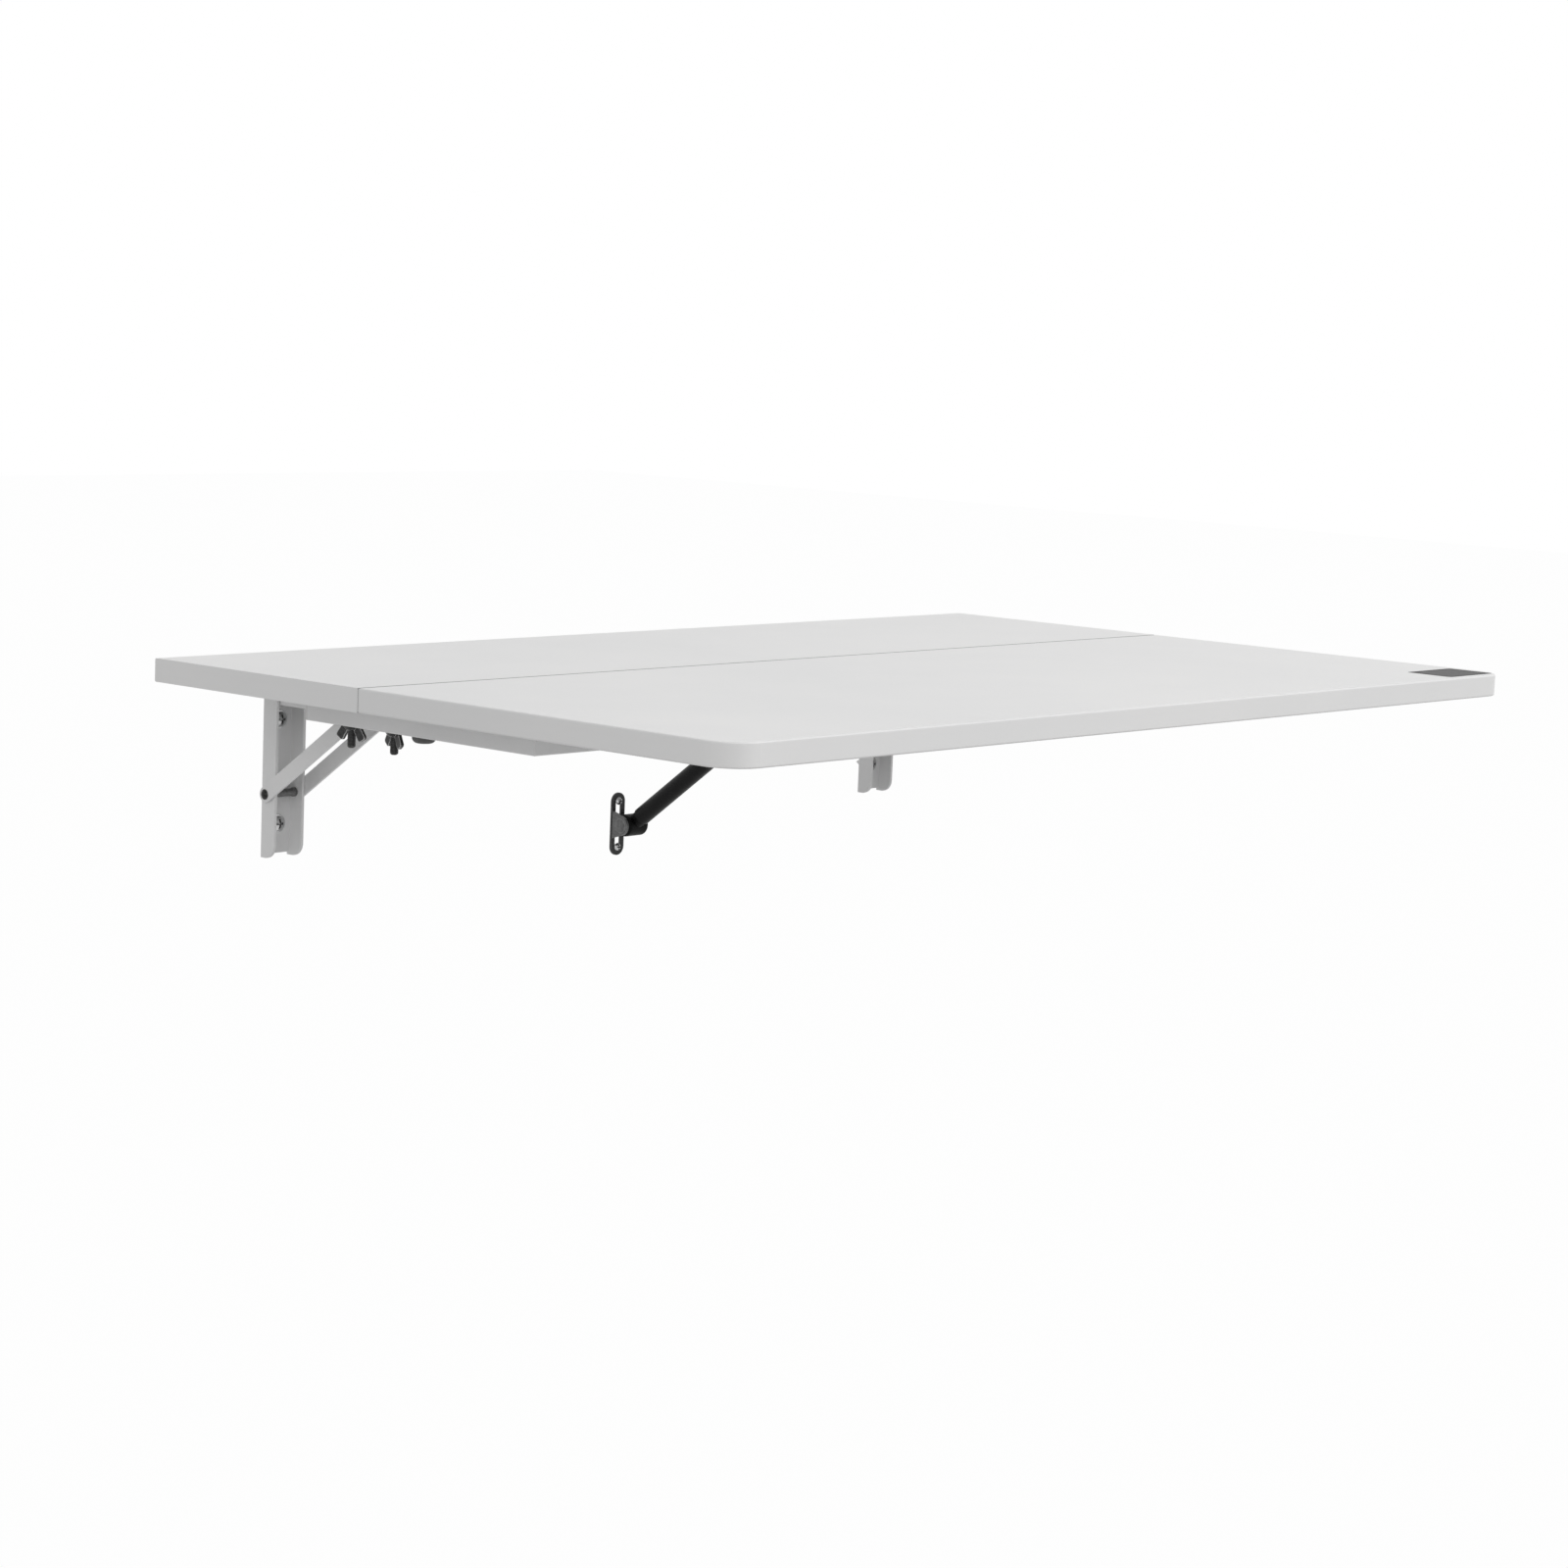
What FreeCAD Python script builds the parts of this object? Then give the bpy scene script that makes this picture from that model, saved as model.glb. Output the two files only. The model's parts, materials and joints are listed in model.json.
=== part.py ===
import FreeCAD, Part
import math
import os

V = FreeCAD.Vector
AXIS_X = V(1, 0, 0)
AXIS_Y = V(0, 1, 0)
AXIS_Z = V(0, 0, 1)

# Places are given as x, as depth out from the wall and as drop below the upper face of the top.
# All lengths are millimetres.

# Boards of the top
TOP_WIDTH = 800.0
TOP_DEPTH = 500.0
BOARD_THICK = 15.0
BACK_BOARD_DEPTH = 193.0
SEAM_GAP = 0.25
CORNER_R = 22.0
BOARD_EDGE_R = 1.2

# Corner plate let into the front board
PLATE_WIDTH = 56.0
PLATE_DEPTH = 36.0
PLATE_THICK = 0.8
PLATE_INSET = 7.0
PLATE_CORNER_R = 3.0

# Wall rails
RAIL_INSET = 101.5
RAIL_WIDTH = 25.0
RAIL_DEPTH = 14.0
RAIL_WALL = 2.0
RAIL_TOP_DROP = 17.0
RAIL_BOTTOM_DROP = 135.0
RAIL_WEB_RISE = 2.0
RAIL_NOSE_R = 9.0
RAIL_BEND_R = 1.5

# Wall screws of the rails
TOP_SCREW_DROP = 44.5
SCREW_SPACING = 69.0
WALL_SCREW_R = 2.5
WALL_SCREW_NECK_R = 2.8
WALL_SCREW_HEAD_R = 5.0
WALL_SCREW_HEAD = 2.6
WALL_SCREW_REACH = 12.0
WALL_SCREW_TIP = 4.0
WASHER_R = 6.0
WASHER_THICK = 0.8
RECESS_REACH_SHARE = 0.64
RECESS_WIDTH_SHARE = 0.3
RECESS_DEEP = 1.4

# Fold pivots and brace bolts
FOLD_PIVOT_DEPTH = 11.0
FOLD_PIVOT_DROP = 25.0
PIVOT_R = 3.0
PIVOT_HEAD_R = 4.6
PIVOT_HEAD = 2.0
FOLD_LIMIT_DEG = 80.0
FIT_GAP = 0.05
SIDE_GAP = 0.4
BRACE_BOLT_DEPTH = 6.6
BRACE_BOLT_DROP = 92.7
BRACE_BOLT_R = 2.1
BRACE_BOLT_HEAD_R = 3.5
BRACE_BOLT_HEAD = 1.6

# Arms
ARM_WALL = 1.5
ARM_SIDE_GAP = 0.5
ARM_NOSE_R = 8.5
ARM_TAIL = 14.0
ARM_TIP_R = 6.0

# Braces and the pin that slides in the arms
BRACE_WIDTH = 10.5
BRACE_THICK = 2.0
BRACE_PIN_DEPTH = 99.0
BRACE_PIN_DROP = 27.5
SLIDE_PIN_R = 2.5
ROLLER_R = 4.0
RIVET_HEAD_R = 3.6
RIVET_HEAD = 1.4

# Screws into the boards
WOOD_SCREW_R = 1.8
WOOD_SCREW_HEAD_R = 3.6
WOOD_SCREW_HEAD = 1.8
WOOD_SCREW_BITE = 11.0
WOOD_SCREW_TIP = 3.0
SCREW_POINT_SHARE = 0.25
ARM_SCREW_REAR_DEPTH = 42.0
ARM_SCREW_SPACING = 130.0

# Support frame of square tube
TUBE_SIZE = 20.0
TUBE_WALL = 1.5
TUBE_EDGE_R = 1.2
FRAME_INSET = 60.0
FRAME_REAR_DEPTH = 78.0
FRAME_FRONT_DEPTH = 284.0
CAP_THICK = 2.0
CAP_PLUG = 10.0
CAP_FIT = 0.1
FRAME_SCREW_INSET = 58.0
FRAME_SCREW_COUNT = 3

# Wing nuts on studs that stand in threaded inserts
NUT_END_INSET = 31.0
NUT_SPACING = 40.0
STUD_R = 2.5
STUD_REACH = 14.6
STUD_CHAMFER = 0.8
INSERT_R = 5.0
INSERT_LENGTH = 10.0
NUT_BASE_R = 6.4
NUT_TOP_R = 3.9
NUT_HEIGHT = 3.0
WING_THICK = 2.2
WING_FOOT_R = 8.0
WING_SPAN_R = 13.8
WING_REACH = 10.6
WING_SHOULDER = 7.4
WING_TIP_WIDTH = 5.8
WING_TIP_R = 1.4
FRONT_NUT_TURN_DEG = -20.0

# Wall bumpers under the side tubes
BUMPER_END_INSET = 98.0
BUMPER_R = 7.5
BUMPER_HEIGHT = 4.4
BUMPER_DOME_R = 3.6

# Support strut
STRUT_EAR_X = 15.0
EAR_THICK = 2.0
EAR_R = 7.0
EAR_FOOT = 21.0
STRUT_FOOT_DEPTH = 10.0
STRUT_FOOT_DROP = 139.0
STRUT_HEAD_DEPTH = 159.0
STRUT_HEAD_DROP = 27.0
WALL_PLATE_WIDTH = 13.0
WALL_PLATE_HEIGHT = 45.5
WALL_PLATE_THICK = 1.6
SLOT_WIDTH = 5.4
SLOT_LENGTH = 14.0
SLOT_SPACING = 25.0
PLATE_SCREW_SPACING = 33.4
PLATE_SCREW_R = 1.9
PLATE_SCREW_HEAD_R = 2.9
PLATE_SCREW_HEAD = 2.2
PLATE_SCREW_REACH = 5.0
STRUT_STUD_R = 3.0
STRUT_STUD_HEAD_R = 5.2
STRUT_STUD_HEAD = 1.1
BARREL_R = 8.0
BARREL_LENGTH = 20.0
BARREL_EDGE_R = 2.8
BARREL_GAP = 0.3
STUD_BITE = 15.0
NECK_R = 5.6
NECK_REACH = 12.0
CYLINDER_R = 6.5
CYLINDER_WALL = 1.2
CYLINDER_FLOOR = 3.0
CYLINDER_LENGTH = 108.0
GLAND_LENGTH = 6.0
GLAND_R = 6.9
ROD_R = 2.5
ROD_TAIL = 46.0
PISTON_LENGTH = 7.0
BRACKET_LENGTH = 34.0
BRACKET_WIDTH = 15.0
BRACKET_THICK = 2.0
BRACKET_SCREW_SPACING = 24.0
BRACKET_CORNER_SHARE = 0.25

# One overrun for all cuts, and how far an edge may lean and still count as parallel
OVERRUN = 2.0
PARALLEL_SHARE = 0.001

# Values worked out from the sizes above
SCREW_MID_DROP = TOP_SCREW_DROP + SCREW_SPACING / 2
RAIL_MID_X = TOP_WIDTH / 2 - RAIL_INSET
ARM_WIDTH = RAIL_WIDTH - 2 * RAIL_WALL - 2 * ARM_SIDE_GAP
ARM_BOTTOM_DROP = FOLD_PIVOT_DROP + ARM_NOSE_R
ARM_SCREW_DEPTHS = (ARM_SCREW_REAR_DEPTH, ARM_SCREW_REAR_DEPTH + ARM_SCREW_SPACING)
FRAME_OUTER_X = TOP_WIDTH / 2 - FRAME_INSET
FRAME_INNER_X = FRAME_OUTER_X - TUBE_SIZE
FRAME_SCREW_SPACING = 2 * (FRAME_INNER_X - FRAME_SCREW_INSET) / (FRAME_SCREW_COUNT - 1)
TUBE_BOTTOM_DROP = BOARD_THICK + TUBE_SIZE
NUT_X = FRAME_OUTER_X - TUBE_SIZE / 2
NUT_REAR_DEPTH = FRAME_REAR_DEPTH + NUT_END_INSET
NUT_DEPTHS = (NUT_REAR_DEPTH, NUT_REAR_DEPTH + NUT_SPACING)
BUMPER_DEPTH = FRAME_REAR_DEPTH + BUMPER_END_INSET
BRACE_LENGTH = math.hypot(BRACE_PIN_DEPTH - BRACE_BOLT_DEPTH, BRACE_BOLT_DROP - BRACE_PIN_DROP)
SLOT_START = BRACE_PIN_DEPTH - FOLD_PIVOT_DEPTH
SLOT_DROP = BRACE_PIN_DROP - FOLD_PIVOT_DROP
STRUT_LENGTH = math.hypot(STRUT_HEAD_DEPTH - STRUT_FOOT_DEPTH, STRUT_FOOT_DROP - STRUT_HEAD_DROP)
STRUT_AXIS = V(0, STRUT_FOOT_DEPTH - STRUT_HEAD_DEPTH, STRUT_FOOT_DROP - STRUT_HEAD_DROP)
STRUT_MID_X = STRUT_EAR_X + EAR_THICK + BARREL_GAP + BARREL_LENGTH / 2


def folded_slot_place():
    """Distance from the fold pivot to the slide pin when the top hangs at its fold limit."""
    turn = math.radians(FOLD_LIMIT_DEG)
    out = BRACE_BOLT_DEPTH - FOLD_PIVOT_DEPTH
    down = BRACE_BOLT_DROP - FOLD_PIVOT_DROP
    along = out * math.cos(turn) + down * math.sin(turn)
    below = -out * math.sin(turn) + down * math.cos(turn)
    return along + math.sqrt(BRACE_LENGTH ** 2 - (SLOT_DROP - below) ** 2)


SLOT_END = folded_slot_place()
ARM_FRONT_DEPTH = FOLD_PIVOT_DEPTH + SLOT_END + ARM_TAIL


def at(x, depth, drop):
    """Point from x, depth out of the wall and drop below the top's upper face."""
    return V(x, -depth, SCREW_MID_DROP - drop)


def slab(x0, x1, depth0, depth1, drop0, drop1):
    """Box between two values of x, depth and drop."""
    return Part.makeBox(x1 - x0, depth1 - depth0, drop1 - drop0, at(x0, depth1, drop1))


def bar_x(x0, x1, depth, drop, radius):
    """Round bar along x."""
    return Part.makeCylinder(radius, x1 - x0, at(x0, depth, drop), AXIS_X)


def bar_out(x, depth0, depth1, drop, radius):
    """Round bar that points out of the wall, from depth0 to depth1."""
    return Part.makeCylinder(radius, depth1 - depth0, at(x, depth0, drop), -AXIS_Y)


def bar_down(x, depth, drop0, drop1, radius):
    """Round bar that points down, from drop0 to drop1."""
    return Part.makeCylinder(radius, drop1 - drop0, at(x, depth, drop0), -AXIS_Z)


def dome(base, axis, radius, height):
    """Low dome on a flat base, part of a ball."""
    ball_r = (radius ** 2 + height ** 2) / (2 * height)
    half_turn = math.asin(min(radius / ball_r, 1)) / 2
    side = axis.cross(AXIS_Y if abs(axis.y) < abs(axis.x) + abs(axis.z) else AXIS_X)
    rim = base + side * radius
    peak = base + axis * height
    ball_mid = base + axis * (height - ball_r)
    on_arc = ball_mid + side * (ball_r * math.sin(half_turn)) + axis * (ball_r * math.cos(half_turn))
    edges = [Part.makeLine(base, rim), Part.Arc(rim, on_arc, peak).toShape(), Part.makeLine(peak, base)]
    return Part.Face(Part.Wire(edges)).revolve(base, axis, 360)


def side_plate(x0, x1, places):
    """Flat plate between x0 and x1 whose outline is given as depth and drop."""
    points = [at(x0, depth, drop) for depth, drop in places]
    face = Part.Face(Part.makePolygon(points + points[:1]))
    return face.extrude(AXIS_X * (x1 - x0))


def plan_plate(drop0, drop1, places):
    """Flat plate between two drops whose outline is given as x and depth."""
    points = [at(x, depth, drop1) for x, depth in places]
    face = Part.Face(Part.makePolygon(points + points[:1]))
    return face.extrude(AXIS_Z * (drop1 - drop0))


def slot_x(x0, x1, start, end, radius):
    """Round-ended slot cutter along x between two places given as depth and drop."""
    reach = math.hypot(end[0] - start[0], end[1] - start[1])
    out = (end[0] - start[0]) / reach
    down = (end[1] - start[1]) / reach
    corners = []
    for place, side in ((start, 1), (end, 1), (end, -1), (start, -1)):
        corners.append((place[0] + side * down * radius, place[1] - side * out * radius))
    body = side_plate(x0, x1, corners)
    ends = [bar_x(x0, x1, depth, drop, radius) for depth, drop in (start, end)]
    return body.fuse(ends).removeSplitter()


def edges_along(shape, axis):
    """Straight edges of a shape that run along an axis."""
    found = []
    for edge in shape.Edges:
        if len(edge.Vertexes) == 2:
            run = edge.Vertexes[1].Point - edge.Vertexes[0].Point
            if run.cross(axis).Length < run.Length * PARALLEL_SHARE:
                found.append(edge)
    return found


def cross_recess(base, axis, head_r):
    """Cutter for the cross of a screw head, let into the head from its outer end."""
    length = 2 * head_r * RECESS_REACH_SHARE
    width = head_r * RECESS_WIDTH_SHARE
    start = V(-length / 2, -width / 2, -RECESS_DEEP)
    arm = Part.makeBox(length, width, RECESS_DEEP + OVERRUN, start)
    other = arm.copy()
    other.rotate(V(0, 0, 0), AXIS_Z, 90)
    cross = arm.fuse(other)
    cross.Placement = FreeCAD.Placement(base, FreeCAD.Rotation(AXIS_Z, axis))
    return cross


def pointed_screw(seat, axis, head_r, head, shank_r, reach, tip):
    """Pan head screw: head stands on seat along axis, shank and point run the other way."""
    shank = Part.makeCylinder(shank_r, reach - tip, seat, -axis)
    point = Part.makeCone(shank_r, shank_r * SCREW_POINT_SHARE, tip, seat - axis * (reach - tip), -axis)
    cap = dome(seat, axis, head_r, head)
    body = cap.fuse([shank, point]).removeSplitter()
    return body.cut(cross_recess(seat + axis * head, axis, head_r))


def mirrored(shape):
    """The same piece on the other side of the table."""
    return shape.mirror(V(0, 0, 0), AXIS_X)


def save(name, solids):
    """Write one node, made of one or more separate solids."""
    if not isinstance(solids, (list, tuple)):
        solids = [solids]
    shape = solids[0] if len(solids) == 1 else Part.makeCompound(list(solids))
    shape.exportStep("parts/" + name + ".step")
    volume = sum(solid.Volume for solid in solids)
    print(name, len(solids), shape.isValid(), round(volume / 1000, 2), "cm3")


def save_pair(name, solids):
    """Write a piece of the left side and its twin on the right."""
    if not isinstance(solids, (list, tuple)):
        solids = [solids]
    save("left_" + name, solids)
    save("right_" + name, [mirrored(solid) for solid in solids])


def back_board():
    half = TOP_WIDTH / 2
    board = slab(-half, half, 0, BACK_BOARD_DEPTH, 0, BOARD_THICK)
    board = board.makeFillet(BOARD_EDGE_R, edges_along(board, AXIS_X))
    for side in (-1, 1):
        for depth in NUT_DEPTHS:
            x = side * NUT_X
            board = board.cut(bar_down(x, depth, BOARD_THICK - INSERT_LENGTH, BOARD_THICK + OVERRUN,
                                       INSERT_R + FIT_GAP))
        for depth in ARM_SCREW_DEPTHS:
            board = board.cut(wood_screw_hole(side * RAIL_MID_X, depth, ARM_WALL))
    for x in bracket_screw_places():
        board = board.cut(wood_screw_hole(x, STRUT_HEAD_DEPTH, BRACKET_THICK))
    return board


def front_board():
    half = TOP_WIDTH / 2
    board = slab(-half, half, BACK_BOARD_DEPTH + SEAM_GAP, TOP_DEPTH, 0, BOARD_THICK)
    front = [edge for edge in edges_along(board, AXIS_Z)
             if edge.CenterOfMass.y < -BACK_BOARD_DEPTH - CORNER_R]
    board = board.makeFillet(CORNER_R, front)
    flat_edges = [edge for edge in board.Edges if abs(edge.BoundBox.ZLength) < BOARD_THICK / 2]
    board = board.makeFillet(BOARD_EDGE_R, flat_edges)
    board = board.cut(corner_plate())
    for x in frame_screw_places():
        board = board.cut(wood_screw_hole(x, FRAME_FRONT_DEPTH - TUBE_SIZE / 2, TUBE_SIZE))
    return board


def corner_plate():
    right = TOP_WIDTH / 2 - PLATE_INSET
    front = TOP_DEPTH - PLATE_INSET
    plate = slab(right - PLATE_WIDTH, right, front - PLATE_DEPTH, front, 0, PLATE_THICK)
    return plate.makeFillet(PLATE_CORNER_R, edges_along(plate, AXIS_Z))


def wood_screw(x, depth, cover):
    """Screw that holds a piece as thick as cover under a board."""
    seat = at(x, depth, BOARD_THICK + cover)
    return pointed_screw(seat, -AXIS_Z, WOOD_SCREW_HEAD_R, WOOD_SCREW_HEAD, WOOD_SCREW_R,
                         cover + WOOD_SCREW_BITE, WOOD_SCREW_TIP)


def wood_screw_hole(x, depth, cover):
    """Hole that such a screw fills, in the board and in the piece that it holds."""
    top = BOARD_THICK - WOOD_SCREW_BITE
    return bar_down(x, depth, top, BOARD_THICK + cover, WOOD_SCREW_R + FIT_GAP)


def left_rail():
    x0 = -RAIL_MID_X - RAIL_WIDTH / 2
    x1 = x0 + RAIL_WIDTH
    outline = slab(x0, x1, 0, RAIL_DEPTH, RAIL_TOP_DROP, RAIL_BOTTOM_DROP)
    low_front = [edge for edge in edges_along(outline, AXIS_X)
                 if edge.CenterOfMass.y < -RAIL_WALL and edge.CenterOfMass.z < 0]
    outline = outline.makeFillet(RAIL_NOSE_R, low_front)
    bends = [edge for edge in edges_along(outline, AXIS_Z) if edge.CenterOfMass.y > -RAIL_WALL]
    outline = outline.makeFillet(RAIL_BEND_R, bends)
    channel = slab(x0 + RAIL_WALL, x1 - RAIL_WALL, RAIL_WALL, RAIL_DEPTH + OVERRUN,
                   RAIL_TOP_DROP - OVERRUN, RAIL_BOTTOM_DROP + OVERRUN)
    rail = outline.cut(channel)
    notch = slab(x0 + RAIL_WALL, x1 - RAIL_WALL, -OVERRUN, RAIL_DEPTH,
                 RAIL_BOTTOM_DROP - RAIL_WEB_RISE, RAIL_BOTTOM_DROP + OVERRUN)
    rail = rail.cut(notch)
    for drop in screw_drops():
        rail = rail.cut(bar_out(-RAIL_MID_X, -OVERRUN, RAIL_WALL + OVERRUN, drop,
                                WALL_SCREW_NECK_R + FIT_GAP))
    for depth, drop, radius in ((FOLD_PIVOT_DEPTH, FOLD_PIVOT_DROP, PIVOT_R),
                                (BRACE_BOLT_DEPTH, BRACE_BOLT_DROP, BRACE_BOLT_R)):
        rail = rail.cut(bar_x(x0 - OVERRUN, x1 + OVERRUN, depth, drop, radius + FIT_GAP))
    return rail


def screw_drops():
    return (TOP_SCREW_DROP, TOP_SCREW_DROP + SCREW_SPACING)


def washer(x, drop):
    ring = bar_out(x, RAIL_WALL, RAIL_WALL + WASHER_THICK, drop, WASHER_R)
    return ring.cut(bar_out(x, 0, RAIL_DEPTH, drop, WALL_SCREW_NECK_R + FIT_GAP))


def rail_screw(x, drop):
    """Wall screw with a smooth neck that fills the rail and a thinner shank in the wall."""
    grip = RAIL_WALL + WASHER_THICK
    screw = pointed_screw(at(x, grip, drop), -AXIS_Y, WALL_SCREW_HEAD_R, WALL_SCREW_HEAD, WALL_SCREW_R,
                          grip + WALL_SCREW_REACH, WALL_SCREW_TIP)
    return screw.fuse(bar_out(x, 0, grip, drop, WALL_SCREW_NECK_R)).removeSplitter()


def headed_pin(half_grip, depth, drop, radius, head_r, head):
    """Rivet through a whole bracket with a domed head on both sides."""
    x0 = -RAIL_MID_X - half_grip
    x1 = -RAIL_MID_X + half_grip
    pin = bar_x(x0, x1, depth, drop, radius)
    outer = dome(at(x0, depth, drop), -AXIS_X, head_r, head)
    inner = dome(at(x1, depth, drop), AXIS_X, head_r, head)
    return pin.fuse([outer, inner]).removeSplitter()


def left_arm():
    x0 = -RAIL_MID_X - ARM_WIDTH / 2
    x1 = x0 + ARM_WIDTH
    outline = slab(x0, x1, FOLD_PIVOT_DEPTH, ARM_FRONT_DEPTH, BOARD_THICK, ARM_BOTTOM_DROP)
    tip = [edge for edge in edges_along(outline, AXIS_X)
           if edge.CenterOfMass.y < -FOLD_PIVOT_DEPTH - ARM_WALL
           and edge.CenterOfMass.z < at(0, 0, FOLD_PIVOT_DROP).z]
    outline = outline.makeFillet(ARM_TIP_R, tip)
    outline = outline.fuse(bar_x(x0, x1, FOLD_PIVOT_DEPTH, FOLD_PIVOT_DROP, ARM_NOSE_R)).removeSplitter()
    channel = slab(x0 + ARM_WALL, x1 - ARM_WALL, FOLD_PIVOT_DEPTH - ARM_NOSE_R - OVERRUN,
                   ARM_FRONT_DEPTH + OVERRUN, BOARD_THICK + ARM_WALL, ARM_BOTTOM_DROP + OVERRUN)
    arm = outline.cut(channel)
    arm = arm.cut(bar_x(x0 - OVERRUN, x1 + OVERRUN, FOLD_PIVOT_DEPTH, FOLD_PIVOT_DROP, PIVOT_R + FIT_GAP))
    start = (FOLD_PIVOT_DEPTH + SLOT_START, BRACE_PIN_DROP)
    end = (FOLD_PIVOT_DEPTH + SLOT_END, BRACE_PIN_DROP)
    arm = arm.cut(slot_x(x0 - OVERRUN, x1 + OVERRUN, start, end, SLIDE_PIN_R + 2 * FIT_GAP))
    for depth in ARM_SCREW_DEPTHS:
        arm = arm.cut(wood_screw_hole(-RAIL_MID_X, depth, ARM_WALL))
    return arm


def brace_places():
    """Inner x of the outer bar and of the inner bar on the left bracket."""
    reach = RAIL_WIDTH / 2 + SIDE_GAP
    return (-RAIL_MID_X - reach - BRACE_THICK, -RAIL_MID_X + reach)


def brace(x0):
    foot = (BRACE_BOLT_DEPTH, BRACE_BOLT_DROP)
    head = (BRACE_PIN_DEPTH, BRACE_PIN_DROP)
    bar = slot_x(x0, x0 + BRACE_THICK, foot, head, BRACE_WIDTH / 2)
    hole = bar_x(x0 - OVERRUN, x0 + BRACE_THICK + OVERRUN, foot[0], foot[1], BRACE_BOLT_R + FIT_GAP)
    return bar.cut(hole)


def brace_rivets():
    """Domed rivet heads on the outer faces of the two bars, over the slide pin."""
    outer_x, inner_x = brace_places()
    outer = dome(at(outer_x, BRACE_PIN_DEPTH, BRACE_PIN_DROP), -AXIS_X, RIVET_HEAD_R, RIVET_HEAD)
    inner = dome(at(inner_x + BRACE_THICK, BRACE_PIN_DEPTH, BRACE_PIN_DROP), AXIS_X,
                 RIVET_HEAD_R, RIVET_HEAD)
    return [outer, inner]


def slide_pin():
    """Pin across the arm with a roller at each end, clear of the braces and of the arm."""
    reach = RAIL_WIDTH / 2
    pin = bar_x(-RAIL_MID_X - reach, -RAIL_MID_X + reach, BRACE_PIN_DEPTH, BRACE_PIN_DROP, SLIDE_PIN_R)
    roller_out = bar_x(-RAIL_MID_X - reach, -RAIL_MID_X - ARM_WIDTH / 2 - ARM_SIDE_GAP,
                       BRACE_PIN_DEPTH, BRACE_PIN_DROP, ROLLER_R)
    roller_in = bar_x(-RAIL_MID_X + ARM_WIDTH / 2 + ARM_SIDE_GAP, -RAIL_MID_X + reach,
                      BRACE_PIN_DEPTH, BRACE_PIN_DROP, ROLLER_R)
    return pin.fuse([roller_out, roller_in]).removeSplitter()


def left_tube():
    """Side tube with a mitred front end."""
    x0 = -FRAME_OUTER_X
    x1 = -FRAME_INNER_X
    rear = FRAME_REAR_DEPTH
    front = FRAME_FRONT_DEPTH
    tube = plan_plate(BOARD_THICK, TUBE_BOTTOM_DROP,
                      [(x0, rear), (x1, rear), (x1, front - TUBE_SIZE), (x0, front)])
    tube = tube.makeFillet(TUBE_EDGE_R, edges_along(tube, AXIS_Y))
    hollow = plan_plate(BOARD_THICK + TUBE_WALL, TUBE_BOTTOM_DROP - TUBE_WALL,
                        [(x0 + TUBE_WALL, rear - OVERRUN), (x1 - TUBE_WALL, rear - OVERRUN),
                         (x1 - TUBE_WALL, front - TUBE_SIZE + TUBE_WALL),
                         (x0 + TUBE_WALL, front - TUBE_WALL)])
    tube = tube.cut(hollow)
    for depth in NUT_DEPTHS:
        tube = tube.cut(bar_down(-NUT_X, depth, BOARD_THICK - OVERRUN, TUBE_BOTTOM_DROP + OVERRUN,
                                 STUD_R + FIT_GAP))
    return tube


def front_tube():
    """Cross tube between the two mitres."""
    outer = FRAME_OUTER_X
    inner = FRAME_INNER_X
    front = FRAME_FRONT_DEPTH
    rear = front - TUBE_SIZE
    tube = plan_plate(BOARD_THICK, TUBE_BOTTOM_DROP,
                      [(-inner, rear), (inner, rear), (outer, front), (-outer, front)])
    tube = tube.makeFillet(TUBE_EDGE_R, edges_along(tube, AXIS_X))
    hollow = plan_plate(BOARD_THICK + TUBE_WALL, TUBE_BOTTOM_DROP - TUBE_WALL,
                        [(-inner - TUBE_WALL, rear + TUBE_WALL), (inner + TUBE_WALL, rear + TUBE_WALL),
                         (outer - TUBE_WALL, front - TUBE_WALL), (-outer + TUBE_WALL, front - TUBE_WALL)])
    tube = tube.cut(hollow)
    for x in frame_screw_places():
        tube = tube.cut(wood_screw_hole(x, FRAME_FRONT_DEPTH - TUBE_SIZE / 2, TUBE_SIZE))
    return tube


def frame_screw_places():
    middle = (FRAME_SCREW_COUNT - 1) / 2
    return [(index - middle) * FRAME_SCREW_SPACING for index in range(FRAME_SCREW_COUNT)]


def bracket_screw_places():
    middle = bracket_mid_x()
    return (middle - BRACKET_SCREW_SPACING / 2, middle + BRACKET_SCREW_SPACING / 2)


def bracket_mid_x():
    return STRUT_EAR_X + EAR_THICK / 2


def left_cap():
    """End cap of a side tube: a plate with a plug that sits in the tube."""
    x0 = -FRAME_OUTER_X
    x1 = -FRAME_INNER_X
    plate = slab(x0, x1, FRAME_REAR_DEPTH - CAP_THICK, FRAME_REAR_DEPTH, BOARD_THICK, TUBE_BOTTOM_DROP)
    plate = plate.makeFillet(TUBE_EDGE_R, edges_along(plate, AXIS_Y))
    inset = TUBE_WALL + CAP_FIT
    plug = slab(x0 + inset, x1 - inset, FRAME_REAR_DEPTH, FRAME_REAR_DEPTH + CAP_PLUG,
                BOARD_THICK + inset, TUBE_BOTTOM_DROP - inset)
    return plate.fuse(plug).removeSplitter()


def stud(depth):
    end = TUBE_BOTTOM_DROP + STUD_REACH
    shank = bar_down(-NUT_X, depth, BOARD_THICK - INSERT_LENGTH, end - STUD_CHAMFER, STUD_R)
    point = Part.makeCone(STUD_R, STUD_R - STUD_CHAMFER, STUD_CHAMFER,
                          at(-NUT_X, depth, end - STUD_CHAMFER), -AXIS_Z)
    return shank.fuse(point).removeSplitter()


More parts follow.
